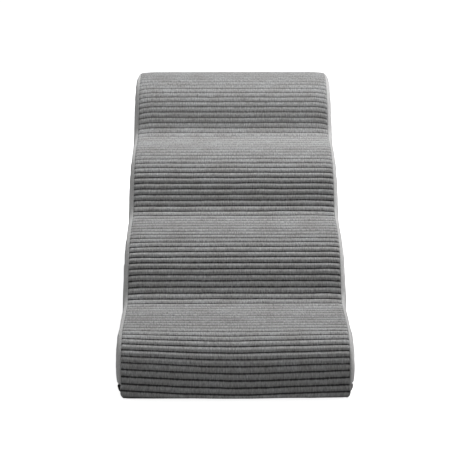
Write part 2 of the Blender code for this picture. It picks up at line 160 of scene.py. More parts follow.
def wave_slope(length):
    """The wave's slope, in radians, at a length from the front face's foot."""
    angle = FRONT_ANGLE + (FIRST_TREAD_ANGLE - FRONT_ANGLE) * turn(length, 0.0, FRONT_ARC)
    for step in range(STEPS - 1):
        valley = FIRST_VALLEY + step * STEP_ARC
        riser = valley + VALLEY_ARC
        angle = angle + (RISER_ANGLE - angle) * turn(length, valley, riser)
        angle = angle + (TREAD_ANGLE - angle) * turn(length, riser, riser + NOSE_ARC)
    return np.radians(angle - ROLL_OFF * turn(length, TOP_ARC - ROLL_OFF_RUN, TOP_ARC))


FACE_SLOPE = radians(FRONT_ANGLE)
FOOT_SWEEP = pi - FACE_SLOPE
FOOT_RUN = (FACE_START - FRONT_FOOT_R * (1 + cos(FACE_SLOPE))) / sin(FACE_SLOPE)
FOOT_START = -FOOT_RUN - FRONT_FOOT_R * FOOT_SWEEP
CORNER_SWEEP = float(wave_slope(TOP_ARC)) + pi / 2
HEM_START = FOOT_START - HEM_LENGTH
TOP_END = TOP_ARC + BACK_CORNER_R * CORNER_SWEEP


def line_slope(length):
    """The slope along the whole line: hem, foot, wave, back corner and upright back."""
    foot = np.minimum(np.maximum(-length - FOOT_RUN, 0.0) / FRONT_FOOT_R, FOOT_SWEEP)
    corner = np.minimum(np.maximum(length - TOP_ARC, 0.0) / BACK_CORNER_R, CORNER_SWEEP)
    return wave_slope(np.clip(length, 0.0, TOP_ARC)) + foot - corner


class Line:
    """The cover's outer line, by its length, from the hem's inner edge to the foot of the back."""

    STEP = 0.0002

    def __init__(self):
        self.length = np.arange(HEM_START, TOP_END + CAD_HIGH.z, self.STEP)
        slope = line_slope(self.length[:-1] + self.STEP / 2)
        self.y, self.z = sums(np.cos(slope) * self.STEP), sums(np.sin(slope) * self.STEP)
        self.y += FRONT_Y - np.interp(0.0, self.length, self.y)
        self.z += HEM_LIFT + FACE_START - np.interp(0.0, self.length, self.z)

    def at(self, length, inset=0.0):
        """The y and z at a length, moved in along the line's normal."""
        angle = line_slope(length)
        y = np.interp(length, self.length, self.y) + inset * np.sin(angle)
        z = np.interp(length, self.length, self.z) - inset * np.cos(angle)
        return y, z

    def length_at_height(self, z, first, last):
        """The length, between two on a steady rise or fall, where the line is at height z."""
        part = np.flatnonzero((self.length >= first) & (self.length <= last))
        part = part[np.argsort(self.z[part])]
        return float(np.interp(z, self.z[part], self.length[part]))


LINE = Line()
PANEL_START = LINE.length_at_height(PANEL_FLOOR, 0.0, 0.06)
PANEL_END = LINE.length_at_height(PANEL_FLOOR, TOP_END, TOP_END + CAD_HIGH.z)


# ---- node materials ----
class Finish:
    """A material's node tree, with short calls to add nodes and join them."""

    def __init__(self, name, roughness, **surface):
        self.material = bpy.data.materials.new(name)
        self.material.use_nodes = True
        self.tree = self.material.node_tree
        self.shader = self.tree.nodes["Principled BSDF"]
        for socket, value in {"Roughness": roughness, **surface}.items():
            self.set(socket.replace("_", " "), value)

    def put(self, socket, value):
        if isinstance(value, bpy.types.NodeSocket):
            self.tree.links.new(value, socket)
        else:
            socket.default_value = value

    def add(self, kind, inputs=None, **settings):
        node = self.tree.nodes.new("ShaderNode" + kind)
        for key, value in settings.items():
            setattr(node, key, value)
        for key, value in (inputs or {}).items():
            self.put(node.inputs[key], value)
        return node

    def math(self, operation, a, b=0.0):
        return self.add("Math", {0: a, 1: b}, operation=operation).outputs[0]

    def plus(self, a, b):
        return self.math("ADD", a, b)

    def times(self, first, *others):
        for value in others:
            first = self.math("MULTIPLY", first, value)
        return first

    def from_place(self, value, start, pitch, place):
        """How far a value is from a place in its period, as a share of the pitch."""
        share = self.math("FRACT", self.math("DIVIDE", self.math("SUBTRACT", value, start), pitch))
        return self.math("ABSOLUTE", self.math("SUBTRACT", share, place))

    def remap(self, value, low, high, to_low=0.0, to_high=1.0):
        inputs = {"Value": value, "From Min": low, "From Max": high, "To Min": to_low, "To Max": to_high}
        return self.add("MapRange", inputs).outputs[0]

    def mix(self, share, a, b):
        return self.add("Mix", {0: share, 6: a, 7: b}, data_type="RGBA").outputs[2]

    def cloth(self):
        """The flat cloth's own coordinates, in metres."""
        return self.add("UVMap", uv_map="cloth").outputs[0]

    def stretch(self, vector, x, y, z=1.0):
        return self.add("Mapping", {"Vector": vector, "Scale": (x, y, z)}).outputs[0]

    def grain(self, x, y=None, z=None):
        """The piece's own coordinates, scaled alike each way unless told."""
        return self.stretch(self.add("TexCoord").outputs["Object"], x, y or x, z or x)

    def noise(self, vector, detail=2.0, roughness=0.5):
        inputs = {"Vector": vector, "Scale": 1.0, "Detail": detail, "Roughness": roughness}
        return self.add("TexNoise", inputs).outputs[0]

    def cells(self, vector):
        return self.add("TexVoronoi", {"Vector": vector, "Scale": 1.0}).outputs["Distance"]

    def wave(self, vector, axis):
        inputs = {"Vector": vector, "Scale": 1.0, "Distortion": 0.0}
        return self.add("TexWave", inputs, bands_direction=axis).outputs["Fac"]

    def bump(self, height, distance, strength):
        inputs = {"Height": height, "Distance": distance, "Strength": strength}
        self.set("Normal", self.add("Bump", inputs).outputs[0])

    def colour(self, share, low, high):
        """Colours the surface between two colours by a share."""
        self.set("Base Color", self.mix(share, low, high))

    def set(self, socket, value):
        self.put(self.shader.inputs[socket], value)


def grey(value, warm=0.0):
    return (value * (1 + warm), value, value * (1 - warm), 1.0)


NOSE_SHADE_PLACE = 0.74  # where the painted shade is darkest, near each roll's nose, as a share of each step's run of cloth


def ribbed_plush():
    """Short pile with streaks across each rib and slow patches, and painted shade: in the grooves, on
    up-facing treads, over the top roll and near each roll's nose.
    """
    finish = Finish("ribbed_plush", 0.95, Sheen_Weight=0.25, Sheen_Roughness=0.45)
    cloth = finish.cloth()
    length = finish.add("SeparateXYZ", {0: cloth}).outputs[1]
    up = finish.add("SeparateXYZ", {0: finish.add("NewGeometry").outputs["Normal"]}).outputs[2]
    streak = finish.noise(finish.stretch(cloth, 430, 110), 4.0, 0.6)
    fine = finish.noise(finish.stretch(cloth, 1300, 260), 2.0)
    patch = finish.noise(finish.stretch(cloth, 24, 34), 3.0)
    broken = finish.remap(finish.noise(finish.stretch(cloth, 300, 30), 3.0), 0.3, 0.7, 0.050, -0.030)
    from_ridge = finish.from_place(length, RIB_START, RIB_PITCH, 0.5)
    # painted shade in the grooves: strongest where the cloth is steep, weaker on the upper rolls, broken
    # up by noise
    groove = finish.times(
        finish.remap(up, 0.72, 0.97, 1.0, 0.40),
        finish.remap(length, UPPER_START, UPPER_END, 1.0, TOP_GROOVE_SHADE_SHARE),
        finish.remap(finish.plus(from_ridge, broken), 0.330, 0.440),
    )
    pile = finish.times(
        finish.remap(streak, 0.25, 0.75, 0.50, 1.46),
        finish.remap(fine, 0.25, 0.75, 0.82, 1.16),
        finish.remap(patch, 0.3, 0.7, 0.88, 1.12),
        # painted shade over the top roll
        finish.remap(length, 0.80, 0.87, 1.0, 0.87),
        # painted shade: faces that look up, such as the treads, are made darker
        finish.remap(up, 0.88, 1.0, 1.0, 0.93),
        # painted shade near each roll's nose, none in the valleys
        finish.remap(finish.from_place(length, FIRST_VALLEY, STEP_ARC, NOSE_SHADE_PLACE), 0.06, 0.20, 0.90, 1.0),
        # the grooves' painted shade, down to 0.12 of the pile's tone
        finish.remap(groove, 0.0, 1.0, 1.0, 0.12),
    )
    warm = finish.mix(finish.remap(patch, 0.35, 0.65), grey(0.37, 0.012), grey(0.37, -0.008))
    shade = finish.add("CombineColor", {0: pile, 1: pile, 2: pile}).outputs[0]
    tint = finish.add("Mix", {0: 1.0, 6: warm, 7: shade}, data_type="RGBA", blend_type="MULTIPLY")
    finish.set("Base Color", tint.outputs[2])
    finish.bump(finish.plus(streak, finish.times(fine, 0.5)), 0.0012, 0.9)
    return finish.material


def plain_plush():
    """The same pile without ribs, a little lighter, with a faint knit."""
    finish = Finish("plain_plush", 0.95, Sheen_Weight=0.8, Sheen_Roughness=0.4)
    cloth = finish.cloth()
    knit = finish.cells(finish.stretch(cloth, 900, 900))
    pile = finish.noise(finish.stretch(cloth, 420, 220), 3.0)
    patch = finish.noise(finish.stretch(cloth, 25, 25), 3.0)
    shade = finish.plus(finish.remap(pile, 0.25, 0.75, 0.0, 0.7), finish.remap(patch, 0.3, 0.7, 0.0, 0.3))
    finish.colour(shade, grey(0.40, 0.01), grey(0.58, 0.0))
    finish.bump(finish.plus(pile, finish.times(knit, 0.6)), 0.0006, 0.8)
    return finish.material


def woven(name, low, high, roughness, pitch, depth):
    """A plain weave of a pitch, from a dark to a light grey."""
    finish = Finish(name, roughness)
    cloth = finish.cloth()
    threads = finish.stretch(cloth, 2 * pi / (20 * pitch), 2 * pi / (20 * pitch))
    weave = finish.times(finish.wave(threads, "X"), finish.wave(threads, "Y"))
    worn = finish.noise(finish.stretch(cloth, 40, 40), 3.0)
    shade = finish.times(weave, finish.remap(worn, 0.3, 0.7, 0.6, 1.0))
    finish.colour(shade, grey(low), grey(high))
    finish.bump(weave, depth, 0.8)
    return finish.material


def foam(name, colour, pores):
    """Cut foam: pores of mixed size and a little yellowing."""
    finish = Finish(name, 0.9)
    cells = finish.cells(finish.grain(pores))
    small = finish.noise(finish.grain(pores * 2), 3.0)
    aged = finish.noise(finish.grain(6), 3.0)
    dark = (colour[0] * 0.80, colour[1] * 0.78, colour[2] * 0.70, 1.0)
    shade = finish.times(finish.remap(cells, 0.0, 0.6), finish.remap(aged, 0.3, 0.7, 0.7, 1.0))
    finish.colour(shade, dark, (*colour, 1.0))
    finish.bump(finish.plus(cells, small), 0.0006, 0.7)
    return finish.material


def liner_cloth():
    """Thin non-woven cloth with an embossed lattice of dots."""
    finish = Finish("liner_nonwoven", 0.8)
    fibre = finish.noise(finish.grain(900, 300, 600), 3.0)
    finish.colour(finish.remap(fibre, 0.3, 0.7), grey(0.66, 0.01), grey(0.80, 0.005))
    finish.bump(finish.cells(finish.grain(450)), 0.0003, 0.6)
    return finish.material


def speckled(name, roughness, grain, detail, spread, low, high, bump, **surface):
    """A finish between two greys, and the fine noise that drives its colour and its bump."""
    finish = Finish(name, roughness, **surface)
    speck = finish.noise(finish.grain(grain), detail)
    finish.colour(finish.remap(speck, *spread), grey(low), grey(high))
    finish.bump(speck, *bump)
    return finish, speck


def rubber():
    """Matt silicone grip dots with a slight bloom."""
    return speckled("grip_rubber", 0.6, 300, 3.0, (0.35, 0.65), 0.040, 0.070, (0.0001, 0.5))[0].material


def nylon():
    """The coils' drawn nylon, a little shiny along its ridges."""
    return speckled("zip_nylon", 0.4, 2500, 2.0, (0.3, 0.7), 0.012, 0.030, (0.00005, 0.5))[0].material


def plated_metal():
    """Dark plated zinc, rubbed paler in places."""
    rubbed_grey = (0.45, 0.75), 0.22, 0.42
    finish, rubbed = speckled("plated_zinc", 0.35, 900, 4.0, *rubbed_grey, (0.00004, 0.4), Metallic=1.0)
    finish.set("Roughness", finish.remap(rubbed, 0.3, 0.7, 0.28, 0.45))
    return finish.material


def thread(name, value):
    """Twisted polyester thread."""
    return speckled(name, 0.7, 3000, 2.0, (0.3, 0.7), value * 0.6, value, (0.0001, 0.6))[0].material


# ---- meshes ----
def reshape(mesh, change):
    """Makes a change to a mesh as a bmesh."""
    shape = bmesh.new()
    shape.from_mesh(mesh)
    change(shape)
    shape.to_mesh(mesh)
    shape.free()


def face_out(shape):
    """Makes all of a closed shape's faces point out."""
    bmesh.ops.recalc_face_normals(shape, faces=shape.faces)


def round_edges(shape, edges, width, segments):
    bmesh.ops.bevel(
        shape, geom=edges, offset=width, segments=segments, profile=0.5, affect="EDGES", clamp_overlap=True
    )


def link(item):
    """Adds an object to the scene."""
    bpy.context.scene.collection.objects.link(item)
    return item


def new_mesh(name, points, faces):
    mesh = bpy.data.meshes.new(name)
    mesh.from_pydata(np.asarray(points, float).tolist(), [], faces)
    mesh.validate()
    return mesh


def add_piece(name, mesh, material, smooth_angle=None, body=BODY):
    """Adds a mesh as a piece on a body, smooth up to an angle between its faces."""
    mesh.materials.clear()
    mesh.materials.append(material)
    mesh.shade_smooth()
    if smooth_angle is not None:
        mesh.set_sharp_from_angle(angle=radians(smooth_angle))
    piece = link(bpy.data.objects.new(name, mesh))
    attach(piece, body)
    return piece


def mesh_piece(name, shell, material, cloth=None, smooth_angle=None, body=BODY):
    """A piece from a closed shell's points and faces, with its cloth coordinates by point."""
    mesh = new_mesh(name, *shell)
    if cloth is not None:
        corner = np.empty(len(mesh.loops), np.int32)
        mesh.loops.foreach_get("vertex_index", corner)
        layer = mesh.uv_layers.new(name="cloth")
        layer.data.foreach_set("uv", np.asarray(cloth, np.float32)[corner].ravel())
    piece = add_piece(name, mesh, material, smooth_angle, body)
    reshape(mesh, face_out)
    return piece


def grid_index(rows, columns, first=0):
    """A grid's point numbers, row by row from first."""
    return first + np.arange(rows * columns).reshape(rows, columns)


def strip_faces(line, other):
    """Quads between matching lines of points."""
    quads = np.stack([line[..., :-1], line[..., 1:], other[..., 1:], other[..., :-1]], axis=-1)
    return quads.reshape(-1, 4).tolist()


def grid_faces(index, flip=False):
    """Quads between a grid's rows."""
    faces = strip_faces(index[:-1], index[1:])
    return [face[::-1] for face in faces] if flip else faces


def grid_border(index):
    """The loop of points round a grid."""
    return np.concatenate([index[0], index[1:, -1], index[-1, -2::-1], index[-2:0:-1, 0]]).tolist()


def loop_faces(loop, other):
    """Quads between two matching closed loops of points."""
    return [[a, b, d, c] for a, b, c, d in zip(loop, loop[1:] + loop[:1], other, other[1:] + other[:1])]


def circle(centre, across, up, sides):
    """Points round a centre, across and up being the ellipse's half axes."""
    turns = np.arange(sides) * 2 * pi / sides
    return np.asarray(centre) + np.outer(np.cos(turns), across) + np.outer(np.sin(turns), up)


def upright(x, y, across, up, sides, profile):
    """A stack of ellipses round an upright line, each at a height with a share of the half axes."""
    return [circle((x, y, z), share * across, share * up, sides) for z, share in profile]


def closed_stacks(stacks):
    """The shell of many closed shapes, each given as a stack of loops with as many points each."""
    count, layers, sides = np.shape(stacks)[:3]
    faces = []
    for loops in np.arange(count * layers * sides).reshape(count, layers, sides).tolist():
        faces += [loops[0][::-1], loops[-1]]
        for loop, following in zip(loops, loops[1:]):
            faces += loop_faces(loop, following)
    return np.reshape(stacks, (-1, 3)), faces


def run_length(points):
    """The distance along a line of points."""
    return sums(np.linalg.norm(np.diff(points, axis=0), axis=1))


def on_line(places, along, values):
    """Values given by point of a line, at places along it."""
    return np.column_stack([np.interp(places, along, column) for column in np.transpose(values)])


# ---- the covers' common edges ----
def side_drop(x):
    """How far the rounded shoulder has dropped at x."""
    return SHOULDER_R * rounded((np.abs(x) - HALF_WIDTH + SHOULDER_R) / SHOULDER_R)


def seam_dip(edge):
    """How far a cover is drawn in at a distance from its seam."""
    return SEAM_DIP * np.clip(1 - edge / SEAM_DIP_WIDTH, 0.0, 1.0) ** 2


def corner_drop(x, length):
    """How far the top's rear corners have sunk at x and at a length."""
    beside = ease(np.abs(x), SEAM_X - CORNER_WIDTH, SEAM_X)
    ahead = ease(length, TOP_ARC - 2 * CORNER_WIDTH, TOP_ARC)
    return CORNER_DROP * beside * ahead * fade(length, TOP_END, TOP_END + CORNER_WIDTH)


# ---- the ribbed top cover ----
FRONT_CORNER_H = 0.014  # height over which the front's lower corners round in
FRONT_CORNER_IN = 0.0132
FRONT_FLARE = 0.0018  # the front's extra half-width below the side panels
BOW = 0.0075  # how far the ribs' ends ride up on the lowest roll
BOW_LEAN = 0.45  # how much less they ride up at the right end
DROOP = 0.0015  # how far they droop at the seams, and on the top roll
TOP_DROOP = 0.0030
DROOP_WIDTH = 0.030
SEWN_FLAT = 0.004  # the ribs flatten over this width beside a seam
FRONT_BULGE = 0.0035  # how far the front face's middle stands forward
FOOT_SHIFT = 0.0025  # how far the lowest grooves sit towards the foot
BOW_RUN = (0.04, 0.25)  # lengths over which the bow, the shift and the bulge fade, and each droop sets in
DROOP_RUN = (0.20, 0.26)
TOP_DROOP_RUN = (0.66, 0.76)
FOOT_SHIFT_RUN = (-0.001, 0.035)
BULGE_RUN = (0.0, 0.10)
TREAD_SLOPES = (0.80, 0.20)  # slopes, in radians, between a riser's ribs and a tread's
HALF_COLUMNS = 44  # across the middle of each half, and closer together beside its seam
EDGE_COLUMNS = 14
EDGE_SHARE = 0.86


def front_half_width(z):
    """Half the top cover's width: it rounds in at the front's lower corners."""
    flared = SEAM_X + FRONT_FLARE * fade(z, PANEL_FLOOR - 0.006, PANEL_FLOOR + 0.002)
    return flared - FRONT_CORNER_IN * rounded(1 - z / FRONT_CORNER_H)


def rib_shift(x, length):
    """How far along the cover the rib pattern is displaced."""
    bow = BOW * (np.abs(x) / SEAM_X) ** 1.5 * (1 - BOW_LEAN * np.maximum(x, 0.0) / SEAM_X)
    bow = bow * fade(length, *BOW_RUN) * ease(length, HEM_START, 0.0)
    end = np.clip((np.abs(x) - SEAM_X + DROOP_WIDTH) / DROOP_WIDTH, 0.0, 1.0) ** 2
    droop = end * (DROOP * ease(length, *DROOP_RUN) + TOP_DROOP * ease(length, *TOP_DROOP_RUN))
    wobble = 0.00045 * noise(3, x / 0.045, length / 0.024) + 0.0002 * noise(4, x / 0.013, length / 0.012)
    inside = ease(length, HEM_START, HEM_START + 0.01) * fade(length, TOP_ARC, TOP_END)
    foot = FOOT_SHIFT * fade(length, *FOOT_SHIFT_RUN) * ease(length, HEM_START, FOOT_START)
    return (bow - droop - foot) * fade(length, TOP_ARC - 0.02, TOP_END) + wobble * inside


def rib_rows():
    """The rows' lengths, how deep each is in its rib's profile, and which are grooves."""
    first = ceil((HEM_START - RIB_START) / RIB_PITCH)
    last = int((TOP_END - RIB_START) / RIB_PITCH)
    share = (1 - np.cos(np.pi * np.arange(RIB_SAMPLES) / RIB_SAMPLES)) / 2
    lengths = (RIB_START + (np.arange(first, last + 1)[:, None] + share) * RIB_PITCH).ravel()
    lengths = lengths[lengths <= TOP_END - GAP]
    out = np.abs(2 * share - 1)
    profile = RIB_ROUNDNESS * rounded(out) + (1 - RIB_ROUNDNESS) * (1 - np.cos(np.pi * out)) / 2
    depths = np.resize(profile, len(lengths))
    grooves = [0, *range(1, len(lengths) + 1, RIB_SAMPLES), len(lengths) + 1]
    return np.array([HEM_START, *lengths, TOP_END]), np.array([0.0, *depths, 0.0]), grooves


def rib_depths(depths, x, length):
    """Each row's depth in its rib: less at seams, on treads and on upper rolls."""
    depth = RIB_DEPTH * depths[:, None] * (1 + 0.14 * noise(5, x / 0.05, length / RIB_PITCH))
    depth = depth * ease(length, HEM_START, -0.008) * fade(length, TOP_ARC, TOP_END, RIB_CORNER_SHARE)
    depth = depth * fade(SEAM_X - np.abs(x), SEWN_FLAT, 0.0, RIB_SEAM_SHARE)
    depth = depth * fade(length, UPPER_START, UPPER_END, TOP_DEPTH_SHARE)
    return depth * fade(line_slope(length + DEPTH_LAG), *TREAD_SLOPES, TREAD_DEPTH_SHARE)


def make_top_cover(material):
    """The ribbed cloth over the wave, whose plain inner face has a row under each groove."""
    middle = np.linspace(0.0, EDGE_SHARE, HALF_COLUMNS, endpoint=False)
    half = np.concatenate([middle, np.linspace(EDGE_SHARE, 1.0, EDGE_COLUMNS)])
    shares = np.concatenate([-half[:0:-1], half])
    lengths, depths, grooves = rib_rows()
    rows, columns = len(lengths), len(shares)
    flat_x, flat_length = np.meshgrid(shares * SEAM_X, lengths)
    length = flat_length + rib_shift(flat_x, flat_length)
    slack = 0.0002 * (noise(6, flat_x / 0.07, flat_length / 0.04) + 1) * ease(flat_length, 0.0, 0.02)
    seam = seam_dip(np.minimum(SEAM_X - np.abs(flat_x), TOP_END - length))
    inset = rib_depths(depths, flat_x, flat_length) + slack + seam
    y, z = LINE.at(length, inset + side_drop(flat_x) + corner_drop(flat_x, length))
    bulge = FRONT_BULGE * (1 - (flat_x / SEAM_X) ** 2) * ease(length, HEM_START, FOOT_START)
    x = shares * front_half_width(z)
    outer = np.stack([x, y - bulge * fade(length, *BULGE_RUN), z], axis=-1).reshape(-1, 3)
    thickness = HEM_T + (TOP_PANEL_T - HEM_T) * ease(length[grooves], FOOT_START, 0.0)
    inner = np.stack([x[grooves], *LINE.at(length[grooves], thickness)], axis=-1).reshape(-1, 3)

    index, under = grid_index(rows, columns), grid_index(len(grooves), columns, rows * columns)
    faces = grid_faces(index) + grid_faces(under, flip=True)
    for edge in (0, -1):
        faces += strip_faces(index[edge], under[edge])
        for band, (start, end) in enumerate(zip(grooves, grooves[1:])):
            faces.append(index[start:end + 1, edge].tolist() + under[[band + 1, band], edge].tolist())
    flat = np.stack([flat_x, flat_length], axis=-1)
    cloth = np.concatenate([flat.reshape(-1, 2), flat[grooves].reshape(-1, 2)])
    shell = (np.concatenate([outer, inner]), faces)
    piece = mesh_piece("top_cover", shell, material, cloth)
    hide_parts("top_panel")


# ---- padded panels by cloth simulation ----
SIM_FRAMES = 20
SKIN_WEIGHT = 700.0  # spread over a skin's points, so that all panels settle alike
PANEL_CLOTH = {
    "quality": 6,
    "tension_stiffness": 12.0,
    "compression_stiffness": 12.0,
    "shear_stiffness": 5.0,
    "bending_stiffness": 0.4,
    "use_pressure": True,
    "uniform_pressure_force": 3.0,
    "shrink_min": -0.005,  # the panel's slack, as a share
    "vertex_group_mass": "seams",
}
PANEL_CAP = 0.0024  # the furthest that a panel puffs out
PANEL_SMOOTH = 50  # edges sharper than this, in degrees, stay sharp
EDGE_SMOOTH = 40
TOOTH_SMOOTH = 60
SIDE_INSETS = (0.0014, 0.0020, 0.0030, 0.0046, 0.0068, 0.0096)
PANEL_ROWS = 50
PANEL_COLUMNS = 140
FLOOR_ROUND = 0.0026  # rounding where a panel turns in to the zip
FRONT_SIDE_END = 0.075  # the side patch's corners, as lengths along the outline
BACK_SIDE_START = TOP_END - 0.011


def inflate(name, points, faces, held, out):
    """A skin's points once puffed by the cloth solver and held along its seams."""
    start, out = np.asarray(points, float), np.asarray(out, float)
    skin = link(bpy.data.objects.new(name + "_skin", new_mesh(name + "_skin", start, faces)))
    skin.vertex_groups.new(name="seams").add(held, 1.0, "REPLACE")
    cloth = skin.modifiers.new("Cloth", "CLOTH")
    for setting, value in PANEL_CLOTH.items():
        setattr(cloth.settings, setting, value)
    cloth.settings.mass = SKIN_WEIGHT / len(start)
    cloth.settings.effector_weights.gravity = 0.0
    cloth.collision_settings.use_collision = False
    cloth.point_cache.frame_end = SIM_FRAMES
    for step in range(1, SIM_FRAMES + 1):
        bpy.context.scene.frame_set(step)
    settled = skin.evaluated_get(bpy.context.evaluated_depsgraph_get()).to_mesh()
    moved = np.array([v.co for v in settled.vertices], float) - start
    bpy.data.objects.remove(skin, do_unlink=True)
    bpy.context.scene.frame_set(1)
    distance = np.linalg.norm(moved, axis=1, keepdims=True)
    moved *= np.minimum(1.0, PANEL_CAP / np.maximum(distance, 1e-9))
    return start + moved - np.minimum(moved @ out, 0.0)[:, None] * out


def height_shares(total, rows=PANEL_ROWS):
    """Where a panel's rows lie between its floor, 0, and its top, 1."""
    close = np.array([0.0, 0.3, 0.65, 1.0, 1.6]) * FLOOR_ROUND / total
    return np.concatenate([close, np.linspace(close[-1], 1.0, rows - len(close) + 1)[1:]])


def outline_samples():
    """Lengths round a side panel's seam: up the front, over the steps and down the back."""
    front_run = FRONT_SIDE_END - PANEL_START
    back_run = PANEL_END - BACK_SIDE_START
    front = PANEL_START + front_run * height_shares(front_run)
    top = np.linspace(FRONT_SIDE_END, BACK_SIDE_START, PANEL_COLUMNS)
    back = PANEL_END - back_run * height_shares(back_run)[::-1]
    return front, top, back


def side_points(inset, lengths):
    """Points of the side panel's outline at an inset, none below the panel's floor."""
    y, z = LINE.at(lengths, inset + corner_drop(SEAM_X, lengths))
    return np.stack([y, np.maximum(z, PANEL_FLOOR)], axis=-1)


def floor_turn(z):
    """How far a panel has turned in towards the zip at a height."""
    return FLOOR_ROUND * rounded(1 - (z - PANEL_FLOOR) / FLOOR_ROUND)


def side_x(inset, z):
    """The padded side's x, by the inset from its outline and the height."""
    return HALF_WIDTH - SHOULDER_R * rounded(1 - inset / SHOULDER_R) - floor_turn(z)


def bow(edge, run):
    """How far a panel's edge lies from the straight line between its ends."""
    return edge - edge[0] - height_shares(run)[:, None] * (edge[-1] - edge[0])


def side_skin():
    """The side's outer skin: rows round its outline, then a patch that fills the middle.

    Returns (y, z) by point, the inset by point, the faces, and the border loop, which is held.
    """
    front, top, back = outline_samples()
    outline = np.concatenate([front, top[1:-1], back])
    count, rings = len(outline), len(SIDE_INSETS)
    inner = side_points(SHOULDER_R, outline)
    left, right = inner[:PANEL_ROWS], inner[-PANEL_ROWS:][::-1]
    upper = inner[PANEL_ROWS - 1:count - PANEL_ROWS + 1]
    columns = len(upper)
    across = np.linspace(0.0, 1.0, columns)
    lower = left[0] + (right[0] - left[0]) * across[:, None]
    left_bow = bow(left, FRONT_SIDE_END - PANEL_START)
    right_bow = bow(right, PANEL_END - BACK_SIDE_START)
    patch = np.zeros((PANEL_ROWS, columns, 2))
    for c, u in enumerate(across):
        v = height_shares(np.linalg.norm(upper[c] - lower[c]))[:, None]
        patch[:, c] = (1 - v) * lower[c] + v * upper[c] + (1 - u) * left_bow + u * right_bow
    points = [side_points(inset, outline) for inset in SIDE_INSETS]
    inset = np.repeat([*SIDE_INSETS, SHOULDER_R], [count] * rings + [PANEL_ROWS * columns])
    ring, middle = grid_index(rings, count), grid_index(PANEL_ROWS, columns, rings * count)
    joined = np.concatenate([middle[:, 0], middle[-1, 1:-1], middle[::-1, -1]])
    faces = grid_faces(ring) + strip_faces(ring[-1], joined) + grid_faces(middle)
    border = np.concatenate([ring[0], ring[1:, -1], middle[0, ::-1], ring[:0:-1, 0]]).tolist()
    return np.concatenate([*points, patch.reshape(-1, 2)]), inset, faces, border


def close_skin(skin, faces, border, axis, plane):
    """The closed shell of a skin and a flat face behind its border."""
    behind = skin[border]
    behind[:, axis] = plane
    loop = list(range(len(skin), len(skin) + len(border)))
    return np.concatenate([skin, behind]), faces + loop_faces(loop, border) + [loop[::-1]]


def make_side_cover(name, node, side, material, skin):
    """One padded side. Returns its middle's grid of points."""
    points, inset, faces, border = skin
    start = np.column_stack([side * side_x(inset, points[:, 1]), points])
    turned = faces if side > 0 else [f[::-1] for f in faces]
    outer = inflate(name, start, turned, border, (side, 0.0, 0.0))
    shell = close_skin(outer, turned, border, 0, side * (SEAM_X + GAP))
    cloth = np.concatenate([points, points[border]])
    piece = mesh_piece(name, shell, material, cloth, PANEL_SMOOTH)
    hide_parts(node)
    return outer[-PANEL_ROWS * PANEL_COLUMNS:].reshape(PANEL_ROWS, PANEL_COLUMNS, 3)


# ---- the back cover ----
BACK_ROWS = 60
BACK_HALF_COLUMNS = 30
BACK_CROWDING = 1.25  # how much closer together its columns are beside the seams


def make_back_cover(material):
    """The upright back between the side covers, puffed like them. Returns its grid of points."""
    half = 1 - (1 - np.linspace(0.0, 1.0, BACK_HALF_COLUMNS)) ** BACK_CROWDING
    half_width = SEAM_X - GAP / 2
    top = LINE.at(TOP_END)[1] - GAP
    heights = PANEL_FLOOR + (top - PANEL_FLOOR) * height_shares(top - PANEL_FLOOR, BACK_ROWS)
    x, z = np.meshgrid(np.concatenate([-half[:0:-1], half]) * half_width, heights)
    edge = np.minimum(half_width - np.abs(x), top - z)
    y = BACK_Y - side_drop(x) - 2 * seam_dip(edge) - floor_turn(z) - corner_drop(x, TOP_END + top - z)
    start = np.stack([x, y, z], axis=-1)
    index = grid_index(*x.shape)
    faces, border = grid_faces(index, flip=True), grid_border(index)
    outer = inflate("back_cover", start.reshape(-1, 3), faces, border, (0.0, 1.0, 0.0))
    shell = close_skin(outer, faces, border, 1, BACK_Y - SIDE_PANEL_T)
    piece = mesh_piece("back_cover", shell, material, shell[0][:, [0, 2]], PANEL_SMOOTH)
    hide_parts("back_panel")
    return outer.reshape(start.shape)


# ---- runs round the base: up the left side, across the back and down the right side ----
ZIP_Z = (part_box("zip_tape_lower")[1].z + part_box("zip_tape_upper")[0].z) / 2
ZIP_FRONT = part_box("zip_tape_lower")[0].y
ZIP_CORNER_R = 0.010
SMALLEST_CORNER_R = 0.0015
CORNER_POINTS = 12


def u_run(inset, front, spacing):
    """Points of a U in plan, inset from the covers' faces, and their outward directions."""
    radius = max(ZIP_CORNER_R - inset, SMALLEST_CORNER_R)
    half, back = HALF_WIDTH - inset, BACK_Y - inset
    side = np.linspace(front, back - radius, max(2, round((back - radius - front) / spacing) + 1))
    rear_points = max(2, round(2 * (half - radius) / spacing) + 1)
    rear = np.linspace(-half + radius, half - radius, rear_points)
    angles = np.linspace(0.0, pi / 2, CORNER_POINTS + 1)[1:-1]
    turned = np.column_stack([-np.cos(angles), np.sin(angles)])
    left = np.concatenate([
        np.column_stack([np.full(len(side), -half), side]),
        turned * radius + (-half + radius, back - radius),
    ])
    left_out = np.concatenate([np.tile((-1.0, 0.0), (len(side), 1)), turned])
    points = [left, np.column_stack([rear, np.full(len(rear), back)]), left[::-1] * (-1, 1)]
    outward = [left_out, np.tile((0.0, 1.0), (len(rear), 1)), left_out[::-1] * (-1, 1)]
    return np.concatenate(points), np.concatenate(outward)


def at_height(plan, z):
    """The points, or directions, of a plan with a z."""
    return np.column_stack([plan, np.full(len(plan), z)])


def swept_faces(rings):
    """Faces between rings that have two ends each; the last ring also joins the first."""
    index = grid_index(len(rings), len(rings[0]))
    return strip_faces(index, np.roll(index, -1, axis=0))


